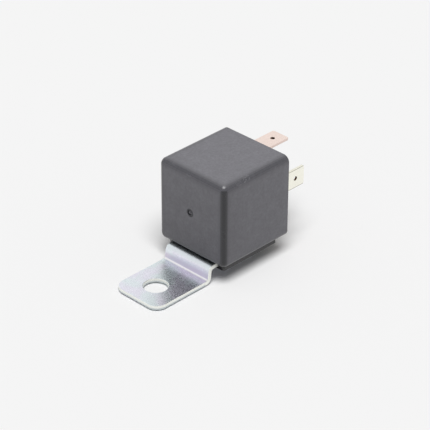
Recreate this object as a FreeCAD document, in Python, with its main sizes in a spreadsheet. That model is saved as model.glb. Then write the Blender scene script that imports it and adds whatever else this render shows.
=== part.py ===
import FreeCAD, Part
import os
import re
import Sketcher

# Five-blade changeover relay on a cranked mounting bracket, millimetres.
# Origin: centre of the ear's hole at the ear's underside. +X runs along the relay
# to its blades, +Z from the bracket to the far side of the cover.

doc = FreeCAD.newDocument("Relay")
sheet = doc.addObject("Spreadsheet::Sheet", "Sizes")

sizes = [
    # Sheet-metal bracket
    ("bracketSheet", 1.35), ("bracketWidth", 18.1), ("earReach", 8.45), ("earHoleRadius", 3.8),
    ("earCornerRadius", 3.6), ("jogRise", 4.43), ("jogFootLead", 2.0), ("jogHeadLead", 1.5),
    ("bendRadius", 0.7), ("stripReach", 21.3), ("stripCornerRadius", 2.0),
    ("windowReach", 13.2), ("windowLength", 4.2), ("windowWidth", 5.6),
    # Moulded cover
    ("holeToFace", 14.5), ("coverLength", 27.4), ("coverWidth", 27.0), ("coverHeight", 27.5),
    ("coverWall", 1.2), ("coverRound", 2.1), ("innerRound", 0.6), ("mouthStep", 0.4),
    ("mouthRound", 1.0),
    ("gateRadius", 0.9), ("gateDepth", 0.25), ("gateNubRadius", 0.3),
    ("gateSide", 0.4), ("gateRise", 0.4),
    ("railLead", 2.2), ("railTail", 2.5), ("railInset", 2.1), ("railDepth", 1.95),
    ("railLip", 1.4), ("railRound", 0.7), ("catchHeight", 1.0),
    ("catchFoot", 0.6), ("catchSideGap", 0.32), ("slideGap", 0.08), ("railSideGap", 0.15),
    # Moulded base
    ("baseDepth", 3.0), ("baseRecess", 0.5), ("baseGap", 0.05), ("slotGap", 0.05),
    ("baseChamfer", 0.3),
    # Blades
    ("bladeWidth", 6.3), ("bladeSheet", 0.8), ("bladeReach", 11.3), ("bladeHoleRadius", 0.7),
    ("bladeHoleInset", 3.95), ("bladeTipCut", 0.55), ("bladeTipBevel", 0.25),
    ("workBladeHeight", 25.07), ("restBladeHeight", 16.62), ("coilBladeHeight", 15.42),
    ("commonBladeHeight", 7.27), ("coilBladeSpacing", 18.4),
    # Magnet
    ("coilAxisHeight", 13.0), ("yokeSheet", 1.8), ("yokeWidth", 14.0), ("yokeDrop", 2.6),
    ("yokeTopHeight", 21.0), ("yokeRound", 1.2), ("yokeCornerCut", 2.4),
    ("poleRadius", 5.5), ("poleDepth", 1.2), ("coreRadius", 3.5), ("neckRadius", 2.5), ("tubeRadius", 4.4),
    ("flangeRadius", 8.3), ("flangeDepth", 1.0), ("windingRadius", 7.3), ("tapeDepth", 0.25),
    ("fitGap", 0.03), ("leadRadius", 0.2), ("leadInset", 0.5), ("leadRun", 3.5),
    ("tangWidth", 2.4), ("tangReach", 5.4), ("yokeBaseGap", 1.6),
    # Armature and contact spring
    ("armatureSheet", 1.6), ("armatureWidth", 12.0), ("armatureFootWidth", 14.0),
    ("armatureHeight", 16.6), ("armatureFootHeight", 6.0), ("armatureRound", 2.0),
    ("armatureLift", 0.15), ("armatureChamfer", 0.6), ("openAngle", 3.0),
    ("springSheet", 0.3), ("springWidth", 9.0), ("springTipWidth", 4.4), ("springBend", 0.5),
    ("springFootReach", 10.6), ("springTipRise", 2.2), ("hingeGap", 0.03),
    ("rivetRadius", 0.9), ("rivetHeadRadius", 1.6), ("rivetHeadDepth", 0.6),
    ("rivetHeadChamfer", 0.3), ("footHoleGap", 0.09),
    ("rivetSpacing", 5.6), ("yokeRivetReach", 6.4), ("armatureRivetHeight", 4.0),
    # Contacts
    ("contactRise", 3.5), ("contactRadius", 1.6), ("contactShankRadius", 0.8),
    ("contactDepth", 0.5), ("contactChamfer", 0.16), ("contactGap", 0.05), ("frontGap", 0.26),
    ("carrierTail", 2.4), ("sideStripInner", 4.2), ("sideStripOuter", 8.0), ("riserTop", 5.0),
]
for row, (name, number) in enumerate(sizes, 1):
    sheet.set(f"A{row}", name)
    sheet.set(f"B{row}", str(number))
    sheet.setAlias(f"B{row}", name)
doc.recompute()

# Places and spans that follow from the sizes above, in the part's frame
derived = {
    "faceEnd": "holeToFace",
    "mouthEnd": "faceEnd + coverLength",
    "coverBottom": "bracketSheet + jogRise",
    "coverTop": "coverBottom + coverHeight",
    "cavityEnd": "faceEnd + coverWall",
    "cavityBottom": "coverBottom + coverWall",
    "cavityTop": "coverTop - coverWall",
    "cavityHalf": "coverWidth / 2 - coverWall",
    "baseOuter": "mouthEnd - baseRecess",
    "baseInner": "baseOuter - baseDepth",
    "bladeTip": "mouthEnd + bladeReach",
    "coilAxis": "coverBottom + coilAxisHeight",
    "yokeOuter": "baseInner - yokeBaseGap",
    "yokeInner": "yokeOuter - yokeSheet",
    "bobbinFront": "poleFace + poleDepth",
    "poleFace": "hingeX + hingeGap",
    "yokeBottom": "coverBottom + yokeDrop",
    "yokeLegTop": "yokeBottom + yokeSheet",
    "yokeTop": "coverBottom + yokeTopHeight",
    # The armature stands where its contact, at rest, lies on the outer fixed one
    "hingeX": "restFace + restLean + (springBack + contactDepth) * cos(openTilt)"
              " + contactHeight * sin(openTilt)",
    "workBladeZ": "coverBottom + workBladeHeight",
    "restBladeZ": "coverBottom + restBladeHeight",
    "coilBladeZ": "coverBottom + coilBladeHeight",
    "commonBladeZ": "coverBottom + commonBladeHeight",
    "springFace": "armatureSheet + fitGap",
    "springBack": "springFace + springSheet",
    "contactHeight": "armatureHeight + contactRise",
    "contactZ": "yokeBottom + contactHeight",
    "workFace": "hingeX - springFace + contactDepth + contactGap",
    "restFace": "cavityEnd + frontGap + bladeSheet + contactDepth",
    "restLean": "contactRadius * sin(openTilt) + contactGap",
    "openTilt": "openAngle * 1 deg",
    "carrierBottom": "contactZ - carrierTail",
    "carrierTop": "workBladeZ + bladeSheet / 2",
    "riserFace": "baseInner - bladeSheet",
}


def formula(words):
    """Write named sizes and places out as one expression over the sheet."""
    def replace(match):
        name = match.group(0)
        if name in derived:
            return "(" + formula(derived[name]) + ")"
        return "Sizes." + name if name in aliases else name
    return re.sub(r"[A-Za-z]+", replace, words)


aliases = {name for name, number in sizes}
sameSpot = 1e-4  # millimetres within which two places are the same
leastChange = 1e-6  # cubic millimetres that a feature has to change


def value(words):
    """The present number of an expression, in millimetres or degrees."""
    return float(sheet.evalExpression(formula(words)))


def bind(thing, field, words):
    thing.setExpression(field, formula(words))


def newBody(label):
    body = doc.addObject("PartDesign::Body", label)
    body.Label = label
    return body


def newSketch(body, name, plane, level="0", rise=None):
    """Sketch on one of the body's origin planes, moved along the plane's normal."""
    sketch = body.newObject("Sketcher::SketchObject", name)
    support = [part for part in body.Origin.OriginFeatures if part.Role == plane + "_Plane"][0]
    sketch.AttachmentSupport = [(support, "")]
    sketch.MapMode = "FlatFace"
    bind(sketch, "AttachmentOffset.Base.z", level)
    if rise:
        bind(sketch, "AttachmentOffset.Base.y", rise)
    return sketch


def fixPoint(sketch, geometry, vertex, across, up):
    """Tie one sketch point to the sketch's origin by two bound distances."""
    for kind, words in (("DistanceX", across), ("DistanceY", up)):
        number = value(words)
        if abs(number) < sameSpot:
            axis = -2 if kind == "DistanceX" else -1
            sketch.addConstraint(Sketcher.Constraint("PointOnObject", geometry, vertex, axis))
            continue
        index = sketch.addConstraint(Sketcher.Constraint(kind, -1, 1, geometry, vertex, number))
        bind(sketch, f"Constraints[{index}]", words)


def addOutline(sketch, points):
    """Closed outline of straight sides through points given as expressions."""
    first = sketch.GeometryCount
    spots = [FreeCAD.Vector(value(across), value(up), 0) for across, up in points]
    for index, spot in enumerate(spots):
        sketch.addGeometry(Part.LineSegment(spot, spots[(index + 1) % len(spots)]))
    for index in range(len(spots)):
        following = first + (index + 1) % len(spots)
        sketch.addConstraint(Sketcher.Constraint("Coincident", first + index, 2, following, 1))
    for index, (across, up) in enumerate(points):
        fixPoint(sketch, first + index, 1, across, up)


def addRectangle(sketch, left, right, low, high):
    addOutline(sketch, [(left, low), (right, low), (right, high), (left, high)])


def addCircle(sketch, across, up, radius):
    centre = FreeCAD.Vector(value(across), value(up), 0)
    upright = FreeCAD.Vector(0, 0, 1)
    index = sketch.addGeometry(Part.Circle(centre, upright, value(radius)))
    fixPoint(sketch, index, 3, across, up)
    limit = sketch.addConstraint(Sketcher.Constraint("Radius", index, value(radius)))
    bind(sketch, f"Constraints[{limit}]", radius)


def newFeature(body, kind, name, sketch, length, back=False, middle=False):
    """Pad or pocket of a sketch, checked to have changed the body's volume."""
    before = body.Shape.Volume if body.Tip else 0.0
    feature = body.newObject("PartDesign::" + kind, name)
    feature.Profile = sketch
    feature.Reversed = back
    feature.SideType = "Symmetric" if middle else "One side"
    bind(feature, "Length", length)
    doc.recompute()
    change = body.Shape.Volume - before
    if (change if kind == "Pad" else -change) < leastChange:
        raise ValueError(f"{body.Label}: {name} changed the volume by {change:.6f}")
    return feature


def pad(body, name, sketch, length, back=False, middle=False):
    return newFeature(body, "Pad", name, sketch, length, back, middle)


def pocket(body, name, sketch, length, back=False, middle=False):
    return newFeature(body, "Pocket", name, sketch, length, back, middle)


def revolve(body, name, sketch):
    feature = body.newObject("PartDesign::Revolution", name)
    feature.Profile = sketch
    feature.ReferenceAxis = (sketch, ["H_Axis"])
    feature.Angle = 360
    doc.recompute()
    return feature


def edgesOf(body, fits):
    edges = body.Tip.Shape.Edges
    return [f"Edge{index}" for index, edge in enumerate(edges, 1) if fits(edge)]


def dress(body, kind, name, fits, words):
    """Fillet or chamfer on the edges of the body's last feature that fit a test."""
    edges = edgesOf(body, fits)
    if not edges:
        raise ValueError(f"{body.Label}: {name} found no edge")
    base = body.Tip
    feature = body.newObject("PartDesign::" + kind, name)
    feature.Base = (base, edges)
    bind(feature, "Radius" if kind == "Fillet" else "Size", words)
    doc.recompute()
    if abs(body.Shape.Volume - base.Shape.Volume) < leastChange:
        raise ValueError(f"{body.Label}: {name} changed nothing")
    return feature


def runs(edge, axis):
    """Whether an edge lies along one of the axes, 0 to 2."""
    span = edge.BoundBox
    lengths = [span.XLength, span.YLength, span.ZLength]
    others = [lengths[other] for other in range(3) if other != axis]
    return lengths[axis] > sameSpot and max(others) < sameSpot


def near(number, words):
    return abs(number - value(words)) < sameSpot


def makeBracket():
    body = newBody("bracket")
    slant = "(jogFootLead - jogHeadLead) / jogRise"
    # The lower face keeps one sheet thickness from the slanted riser
    swing = f"bracketSheet * (sqrt(1 + ({slant}) ^ 2) - ({slant}))"
    foot = "faceEnd - jogFootLead"
    head = "faceEnd - jogHeadLead"
    profile = newSketch(body, "SheetProfile", "XZ")
    addOutline(profile, [
        ("-earReach", "0"), (f"{foot} + {swing}", "0"),
        (f"{head} + {swing}", "coverBottom - bracketSheet"),
        ("faceEnd + stripReach", "coverBottom - bracketSheet"),
        ("faceEnd + stripReach", "coverBottom"), (head, "coverBottom"),
        (foot, "bracketSheet"), ("-earReach", "bracketSheet")])
    pad(body, "Sheet", profile, "bracketWidth", middle=True)

    def isBend(edge, inner):
        spot = edge.BoundBox
        low = near(spot.ZMin, "bracketSheet" if inner else "0")
        high = near(spot.ZMin, "coverBottom - bracketSheet" if inner else "coverBottom")
        atEnd = near(spot.XMin, "-earReach") or near(spot.XMin, "faceEnd + stripReach")
        return runs(edge, 1) and (low or high) and not atEnd

    dress(body, "Fillet", "InnerBends", lambda edge: isBend(edge, True), "bendRadius")
    dress(body, "Fillet", "OuterBends", lambda edge: isBend(edge, False),
          "bendRadius + bracketSheet")
    dress(body, "Fillet", "EarCorners",
          lambda edge: runs(edge, 2) and near(edge.BoundBox.XMin, "-earReach"),
          "earCornerRadius")
    dress(body, "Fillet", "StripCorners",
          lambda edge: runs(edge, 2) and near(edge.BoundBox.XMin, "faceEnd + stripReach"),
          "stripCornerRadius")
    hole = newSketch(body, "EarHoleOutline", "XY")
    addCircle(hole, "0", "0", "earHoleRadius")
    pocket(body, "EarHole", hole, "bracketSheet", back=True)
    window = newSketch(body, "WindowOutline", "XY", "coverBottom")
    addRectangle(window, "faceEnd + windowReach", "faceEnd + windowReach + windowLength",
                 "-windowWidth / 2", "windowWidth / 2")
    pocket(body, "CatchWindow", window, "bracketSheet")
    return body


def makeCover():
    body = newBody("cover")
    block = newSketch(body, "BlockOutline", "YZ", "faceEnd")
    addRectangle(block, "-coverWidth / 2", "coverWidth / 2", "coverBottom", "coverTop")
    pad(body, "Block", block, "coverLength")
    dress(body, "Fillet", "OuterRound",
          lambda edge: not near(edge.BoundBox.XMin, "mouthEnd"), "coverRound")
    cavity = newSketch(body, "CavityOutline", "YZ", "cavityEnd")
    addRectangle(cavity, "-cavityHalf", "cavityHalf", "cavityBottom", "cavityTop")
    pocket(body, "Cavity", cavity, "coverLength", back=True)
    dress(body, "Fillet", "CavityRound",
          lambda edge: runs(edge, 0) and near(abs(edge.BoundBox.YMin), "cavityHalf"),
          "innerRound")
    # The base stands on the step that this rebate leaves round the mouth
    rebate = newSketch(body, "RebateOutline", "YZ", "baseInner")
    addRectangle(rebate, "-cavityHalf - mouthStep", "cavityHalf + mouthStep",
                 "cavityBottom - mouthStep", "cavityTop + mouthStep")
    pocket(body, "MouthRebate", rebate, "baseDepth + baseRecess", back=True)
    dress(body, "Fillet", "RebateRound",
          lambda edge: runs(edge, 0) and near(edge.BoundBox.XMin, "baseInner")
          and near(abs(edge.BoundBox.YMin), "cavityHalf + mouthStep"), "mouthRound")
    gate = newSketch(body, "GateOutline", "YZ", "faceEnd")
    addCircle(gate, "gateSide", "(coverBottom + coverTop) / 2 + gateRise", "gateRadius")
    addCircle(gate, "gateSide", "(coverBottom + coverTop) / 2 + gateRise", "gateNubRadius")
    pocket(body, "GateMark", gate, "gateDepth", back=True)

    rails = newSketch(body, "RailSections", "YZ", "faceEnd + railLead")
    outer = "coverWidth / 2 - railInset"
    inner = "bracketWidth / 2 + railSideGap"
    lipTop = "coverBottom - bracketSheet - slideGap"
    root = "coverBottom + coverWall / 2"
    sole = "coverBottom - railDepth"
    for side in ("", "-"):
        addOutline(rails, [
            (f"{side}({outer})", root), (f"{side}({outer})", sole),
            (f"{side}({inner} - railLip)", sole), (f"{side}({inner} - railLip)", lipTop),
            (f"{side}({inner})", lipTop), (f"{side}({inner})", root)])
    pad(body, "Rails", rails, "coverLength - railLead - railTail")
    dress(body, "Fillet", "RailEnds",
          lambda edge: runs(edge, 2) and near(edge.BoundBox.ZMin, sole)
          and near(abs(edge.BoundBox.YMin), outer), "railRound")
    # The catch ramps away from the strip's end and bears on the window's far edge
    wedge = newSketch(body, "CatchProfile", "XZ")
    back = "faceEnd + windowReach + windowLength - slideGap"
    front = "faceEnd + windowReach + slideGap + catchFoot"
    addOutline(wedge, [(front, "coverBottom"), (back, "coverBottom - catchHeight"),
                       (back, "coverBottom")])
    pad(body, "Catch", wedge, "windowWidth - catchSideGap", middle=True)
    return body


def slotOutline(sketch, blade):
    """Slot that clears one blade, on the plane of the base's faces."""
    across, up, wide, tall = blade
    addRectangle(sketch, f"{across} - ({wide}) / 2 - slotGap", f"{across} + ({wide}) / 2 + slotGap",
                 f"{up} - ({tall}) / 2 - slotGap", f"{up} + ({tall}) / 2 + slotGap")


# Each blade's centre across and up, and its section, as it leaves the base
blades = {
    "work": ("0", "workBladeZ", "bladeWidth", "bladeSheet"),
    "rest": ("0", "restBladeZ", "bladeWidth", "bladeSheet"),
    "common": ("0", "commonBladeZ", "bladeSheet", "bladeWidth"),
    "coilRight": ("-coilBladeSpacing / 2", "coilBladeZ", "bladeSheet", "bladeWidth"),
    "coilLeft": ("coilBladeSpacing / 2", "coilBladeZ", "bladeSheet", "bladeWidth"),
}


def makeBase():
    body = newBody("base")
    plate = newSketch(body, "PlateOutline", "YZ", "baseInner")
    reach = "mouthStep - baseGap"
    addRectangle(plate, f"-cavityHalf - ({reach})", f"cavityHalf + {reach}",
                 f"cavityBottom - ({reach})", f"cavityTop + {reach}")
    pad(body, "Plate", plate, "baseDepth")
    dress(body, "Fillet", "PlateCorners", lambda edge: runs(edge, 0), "mouthRound - baseGap")
    dress(body, "Chamfer", "LeadIn",
          lambda edge: near(edge.BoundBox.XMin, "baseInner")
          and near(edge.BoundBox.XMax, "baseInner"), "baseChamfer")
    slots = newSketch(body, "SlotOutlines", "YZ", "baseInner")
    for blade in blades.values():
        slotOutline(slots, blade)
    pocket(body, "Slots", slots, "baseDepth", back=True)
    return body


def finishTip(body, flat):
    """Detent hole, cut corners and bevelled end of a blade lying flat or on edge."""
    across, up = (1, 2) if flat else (2, 1)
    for name, axis, cut in (("TipCorners", up, "bladeTipCut"), ("TipBevel", across, "bladeTipBevel")):
        dress(body, "Chamfer", name,
              lambda edge: runs(edge, axis) and near(edge.BoundBox.XMin, "bladeTip"), cut)


def makeCoilBlade(label, side):
    body = newBody(label)
    profile = newSketch(body, "BladeOutline", "XZ", f"{side}(coilBladeSpacing / 2)")
    low = "coilBladeZ - bladeWidth / 2"
    high = "coilBladeZ + bladeWidth / 2"
    tang = "coilBladeZ + tangWidth / 2"
    tangLow = "coilBladeZ - tangWidth / 2"
    addOutline(profile, [
        ("baseInner - tangReach", tangLow), ("baseInner", tangLow), ("baseInner", low),
        ("bladeTip", low), ("bladeTip", high), ("baseInner", high), ("baseInner", tang),
        ("baseInner - tangReach", tang)])
    pad(body, "Blade", profile, "bladeSheet", middle=True)
    finishTip(body, False)
    hole = newSketch(body, "HoleOutline", "XZ", f"{side}(coilBladeSpacing / 2)")
    addCircle(hole, "bladeTip - bladeHoleInset", "coilBladeZ", "bladeHoleRadius")
    pocket(body, "DetentHole", hole, "bladeSheet * 2", middle=True)
    return body


def makeCommonBlade():
    body = newBody("terminal_30")
    profile = newSketch(body, "BladeOutline", "XZ")
    addRectangle(profile, "yokeOuter", "bladeTip", "commonBladeZ - bladeWidth / 2",
                 "commonBladeZ + bladeWidth / 2")
    pad(body, "Blade", profile, "bladeSheet", middle=True)
    finishTip(body, False)
    foot = newSketch(body, "FootOutline", "YZ", "yokeOuter")
    addRectangle(foot, "-bladeSheet / 2", "yokeWidth / 2 - bladeSheet",
                 "commonBladeZ - bladeWidth / 2", "commonBladeZ + bladeWidth / 2")
    pad(body, "WeldFoot", foot, "bladeSheet")
    hole = newSketch(body, "HoleOutline", "XZ")
    addCircle(hole, "bladeTip - bladeHoleInset", "commonBladeZ", "bladeHoleRadius")
    pocket(body, "DetentHole", hole, "bladeSheet * 2", middle=True)
    return body


def makeWorkBlade():
    body = newBody("terminal_87")
    profile = newSketch(body, "StripProfile", "XZ")
    carrier = "workFace + contactDepth"
    low = "workBladeZ - bladeSheet / 2"
    addOutline(profile, [
        (carrier, "carrierBottom"), (f"{carrier} + bladeSheet", "carrierBottom"),
        (f"{carrier} + bladeSheet", low), ("bladeTip", low), ("bladeTip", "carrierTop"),
        (carrier, "carrierTop")])
    pad(body, "Strip", profile, "bladeWidth", middle=True)
    dress(body, "Fillet", "OuterBend",
          lambda edge: runs(edge, 1) and near(edge.BoundBox.XMin, carrier)
          and near(edge.BoundBox.ZMin, "carrierTop"), "bladeSheet")
    finishTip(body, True)
    hole = newSketch(body, "HoleOutline", "XY", low)
    addCircle(hole, "bladeTip - bladeHoleInset", "0", "bladeHoleRadius")
    pocket(body, "DetentHole", hole, "bladeSheet", back=True)
    seat = newSketch(body, "SeatOutline", "YZ", carrier)
    addCircle(seat, "0", "contactZ", "contactShankRadius + fitGap")
    pocket(body, "ContactSeat", seat, "bladeSheet", back=True)
    return body


def makeRestBlade():
    """Blade, riser behind the base, strip beside the work blade and contact carrier."""
    body = newBody("terminal_87a")
    low = "restBladeZ - bladeSheet / 2"
    half = "bladeWidth / 2"
    carrier = "restFace - contactDepth - bladeSheet"
    profile = newSketch(body, "BladeProfile", "XZ")
    addRectangle(profile, "riserFace", "bladeTip", low, "restBladeZ + bladeSheet / 2")
    pad(body, "Blade", profile, "bladeWidth", middle=True)
    finishTip(body, True)
    hole = newSketch(body, "HoleOutline", "XY", low)
    addCircle(hole, "bladeTip - bladeHoleInset", "0", "bladeHoleRadius")
    pocket(body, "DetentHole", hole, "bladeSheet", back=True)
    riser = newSketch(body, "RiserOutline", "YZ", "riserFace")
    addOutline(riser, [
        (f"-({half})", low), (half, low), (half, f"{low} + riserTop"),
        ("-sideStripInner", f"{low} + riserTop"), ("-sideStripInner", "carrierTop"),
        ("-sideStripOuter", "carrierTop"), ("-sideStripOuter", "coilBladeZ + bladeWidth / 2"),
        (f"-({half})", "coilBladeZ + bladeWidth / 2")])
    pad(body, "Riser", riser, "bladeSheet")
    strip = newSketch(body, "StripOutline", "XY", "carrierTop - bladeSheet")
    addRectangle(strip, carrier, "baseInner", "-sideStripOuter", "-sideStripInner")
    pad(body, "SideStrip", strip, "bladeSheet")
    front = newSketch(body, "CarrierOutline", "YZ", carrier)
    addRectangle(front, "-sideStripOuter", "contactRadius + bladeSheet",
                 "carrierBottom", "carrierTop")
    pad(body, "Carrier", front, "bladeSheet")
    dress(body, "Fillet", "CarrierCorners",
          lambda edge: runs(edge, 0) and near(edge.BoundBox.ZMin, "carrierBottom"), "bladeSheet")
    seat = newSketch(body, "SeatOutline", "YZ", carrier)
    addCircle(seat, "0", "contactZ", "contactShankRadius + fitGap")
    pocket(body, "ContactSeat", seat, "bladeSheet", back=True)
    return body


def makeFixedContact(label, face, depth, toFront):
    """Contact rivet: button on the carrier's face and a shank filling its hole."""
    body = newBody(label)
    button = newSketch(body, "ButtonOutline", "YZ", face)
    addCircle(button, "0", "contactZ", "contactRadius")
    pad(body, "Button", button, depth, back=not toFront)
    shank = newSketch(body, "ShankOutline", "YZ", face)
    addCircle(shank, "0", "contactZ", "contactShankRadius")
    pad(body, "Shank", shank, f"{depth} + bladeSheet", back=not toFront)
    dress(body, "Chamfer", "ButtonEdge", lambda edge: isRim(edge, "YZ", face), "contactChamfer")
    return body


def makeYoke():
    body = newBody("yoke")
    profile = newSketch(body, "FrameProfile", "XZ")
    addOutline(profile, [
        ("poleFace", "yokeBottom"), ("yokeOuter", "yokeBottom"), ("yokeOuter", "yokeTop"),
        ("yokeInner", "yokeTop"), ("yokeInner", "yokeLegTop"), ("poleFace", "yokeLegTop")])
    pad(body, "Frame", profile, "yokeWidth", middle=True)
    dress(body, "Fillet", "FrameBend",
          lambda edge: runs(edge, 1) and near(edge.BoundBox.XMin, "yokeOuter")
          and near(edge.BoundBox.ZMin, "yokeBottom"), "yokeRound")
    dress(body, "Chamfer", "FrameCorners",
          lambda edge: runs(edge, 0) and near(edge.BoundBox.ZMin, "yokeTop"), "yokeCornerCut")
    neck = newSketch(body, "NeckHole", "YZ", "yokeInner")
    addCircle(neck, "0", "coilAxis", "neckRadius + fitGap")
    pocket(body, "CoreHole", neck, "yokeSheet", back=True)
    holes = newSketch(body, "RivetHoles", "XY", "yokeBottom")
    for side in ("", "-"):
        addCircle(holes, "poleFace + yokeRivetReach", f"{side}rivetSpacing / 2",
                  "rivetRadius + fitGap")
    pocket(body, "LegHoles", holes, "yokeSheet", back=True)
    return body


def turned(label, name, points):
    """Piece turned about the coil's axis from half its section."""
    body = newBody(label)
    section = newSketch(body, name, "XZ", rise="coilAxis")
    addOutline(section, points)
    revolve(body, "Turned", section)
    return body


def makeCore():
    return turned("core", "HalfSection", [
        ("poleFace", "0"), ("yokeOuter", "0"), ("yokeOuter", "neckRadius"),
        ("yokeInner", "neckRadius"), ("yokeInner", "coreRadius"), ("bobbinFront", "coreRadius"),
        ("bobbinFront", "poleRadius"), ("poleFace", "poleRadius")])


def makeBobbin():
    front = "bobbinFront + flangeDepth"
    rear = "yokeInner - flangeDepth"
    bore = "coreRadius + fitGap"
    return turned("bobbin", "HalfSection", [
        ("bobbinFront", bore), ("yokeInner", bore), ("yokeInner", "flangeRadius"),
        (rear, "flangeRadius"), (rear, "tubeRadius"), (front, "tubeRadius"),
        (front, "flangeRadius"), ("bobbinFront", "flangeRadius")])


def makeRing(label, inner, outer):
    left = "bobbinFront + flangeDepth + fitGap"
    right = "yokeInner - flangeDepth - fitGap"
    return turned(label, "HalfSection",
                  [(left, inner), (right, inner), (right, outer), (left, outer)])


def makeLead(label, side):
    """Coil end: along the winding, then squarely out to the tang beside it."""
    body = newBody(label)
    line = "windingRadius + fitGap * 2 + tapeDepth + leadRadius"
    tangFace = "coilBladeSpacing / 2 - bladeSheet / 2 - fitGap"
    turn = "yokeInner - flangeDepth - leadInset"
    path = newSketch(body, "Path", "XY", "coilAxis")
    corners = [(f"{turn} - leadRun", f"{side}({line})"), (turn, f"{side}({line})"),
               (turn, f"{side}({tangFace})")]
    points = [FreeCAD.Vector(value(across), value(up), 0) for across, up in corners]
    for index in range(2):
        path.addGeometry(Part.LineSegment(points[index], points[index + 1]))
    path.addConstraint(Sketcher.Constraint("Coincident", 0, 2, 1, 1))
    fixPoint(path, 0, 1, *corners[0])
    fixPoint(path, 0, 2, *corners[1])
    fixPoint(path, 1, 2, *corners[2])
    section = newSketch(body, "Section", "YZ", f"{turn} - leadRun")
    addCircle(section, f"{side}({line})", "coilAxis", "leadRadius")
    doc.recompute()
    wire = body.newObject("PartDesign::AdditivePipe", "Wire")
    wire.Profile = section
    wire.Spine = (path, ["Edge1", "Edge2"])
    wire.Transition = "Right corner"
    doc.recompute()
    return body


def hangOnHinge(body):
    """Set a piece drawn upright on the hinge line at its open angle."""
    body.Placement = FreeCAD.Placement(
        FreeCAD.Vector(value("hingeX"), 0, value("yokeBottom")),
        FreeCAD.Rotation(FreeCAD.Vector(0, -1, 0), value("openAngle")))
    bind(body, "Placement.Base.x", "hingeX")
    bind(body, "Placement.Base.z", "yokeBottom")
    bind(body, "Placement.Rotation.Angle", "openAngle")
    return body


def makeArmature():
    body = newBody("armature")
    plate = newSketch(body, "PlateOutline", "YZ")
    narrow = "armatureWidth / 2"
    wide = "armatureFootWidth / 2"
    shoulder = "armatureFootHeight + armatureFootWidth / 2 - armatureWidth / 2"
    addOutline(plate, [
        (f"-{wide}", "armatureLift"), (wide, "armatureLift"), (wide, "armatureFootHeight"),
        (narrow, shoulder), (narrow, "armatureHeight"), (f"-{narrow}", "armatureHeight"),
        (f"-{narrow}", shoulder), (f"-{wide}", "armatureFootHeight")])
    pad(body, "Plate", plate, "armatureSheet", back=True)
    dress(body, "Fillet", "TopCorners",
          lambda edge: runs(edge, 0) and near(edge.BoundBox.ZMin, "armatureHeight"),
          "armatureRound")
    dress(body, "Chamfer", "HeelRelief",
          lambda edge: runs(edge, 1) and near(edge.BoundBox.ZMin, "armatureLift")
          and near(edge.BoundBox.XMin, "-armatureSheet"), "armatureChamfer")
    holes = newSketch(body, "RivetHoles", "YZ")
    for side in ("", "-"):
        addCircle(holes, f"{side}rivetSpacing / 2", "armatureRivetHeight", "rivetRadius + fitGap")
    pocket(body, "RivetBores", holes, "armatureSheet")
    return hangOnHinge(body)


def makeSpring():
    """Leaf spring: foot under the yoke, bend round the armature's heel, contact arm."""
    body = newBody("contact_spring")
    foot = "poleFace + springFootReach - hingeX"
    top = "contactHeight + springTipRise"
    shoulder = "armatureHeight - springWidth / 2"

    def onFoot(drop):
        # Where the arm's face crosses the level foot, in the tilted frame
        face = "springFace" if drop == "fitGap" else "springBack"
        return (f"-({face})", f"(({face}) * sin(openTilt) - ({drop})) / cos(openTilt)")

    def footEnd(drop):
        return (f"({foot}) * cos(openTilt) - ({drop}) * sin(openTilt)",
                f"-({foot}) * sin(openTilt) - ({drop}) * cos(openTilt)")

    profile = newSketch(body, "LeafProfile", "XZ")
    addOutline(profile, [
        footEnd("fitGap"), onFoot("fitGap"), ("-(springFace)", top), ("-(springBack)", top),
        onFoot("fitGap + springSheet"), footEnd("fitGap + springSheet")])
    pad(body, "Leaf", profile, "springWidth", middle=True)

    def isBend(edge, inner):
        face = "-(springFace)" if inner else "-(springBack)"
        return (runs(edge, 1) and near(edge.BoundBox.XMin, face)
                and edge.BoundBox.ZMax < value("armatureLift"))

    dress(body, "Fillet", "BendInside", lambda edge: isBend(edge, True), "springBend")
    dress(body, "Fillet", "BendOutside", lambda edge: isBend(edge, False),
          "springBend + springSheet")
    # The arm narrows above the armature to the width that carries the contact
    waist = newSketch(body, "WaistOutlines", "YZ")
    for side in ("", "-"):
        addOutline(waist, [
            (f"{side}springTipWidth / 2", "armatureHeight"),
            (f"{side}springTipWidth / 2", f"{top} + springSheet"),
            (f"{side}springWidth", f"{top} + springSheet"), (f"{side}springWidth", shoulder),
            (f"{side}springWidth / 2", shoulder)])
    pocket(body, "Waist", waist, "springBack * 2")
    holes = newSketch(body, "ArmHoles", "YZ")
    for side in ("", "-"):
        addCircle(holes, f"{side}rivetSpacing / 2", "armatureRivetHeight", "rivetRadius + fitGap")
    addCircle(holes, "0", "contactHeight", "contactShankRadius + fitGap")
    pocket(body, "ArmBores", holes, "springBack * 2")
    seats = newSketch(body, "FootHoles", "XY", "-springFootReach")
    for side in ("", "-"):
        addCircle(seats, "(poleFace + yokeRivetReach - hingeX) / cos(openTilt)",
                  f"{side}rivetSpacing / 2", "rivetRadius + footHoleGap")
    pocket(body, "FootBores", seats, "springFootReach * 2", back=True)
    return hangOnHinge(body)


def makeRivets(label, spots, plane, start, shank, back):
    """Rivets that share one node: shanks through the joint, heads on its far side."""
    body = newBody(label)
    body.AllowCompound = True
    shanks = newSketch(body, "ShankOutlines", plane, start)
    heads = newSketch(body, "HeadOutlines", plane, f"{start} {'-' if back else '+'} ({shank})")
    for across, up in spots:
        addCircle(shanks, across, up, "rivetRadius")
        addCircle(heads, across, up, "rivetHeadRadius")
    pad(body, "Shanks", shanks, shank, back=back)
    pad(body, "Heads", heads, "rivetHeadDepth", back=back)
    face = f"{start} {'-' if back else '+'} ({shank} + rivetHeadDepth)"
    dress(body, "Chamfer", "HeadEdge", lambda edge: isRim(edge, plane, face), "rivetHeadChamfer")
    return body


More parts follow.
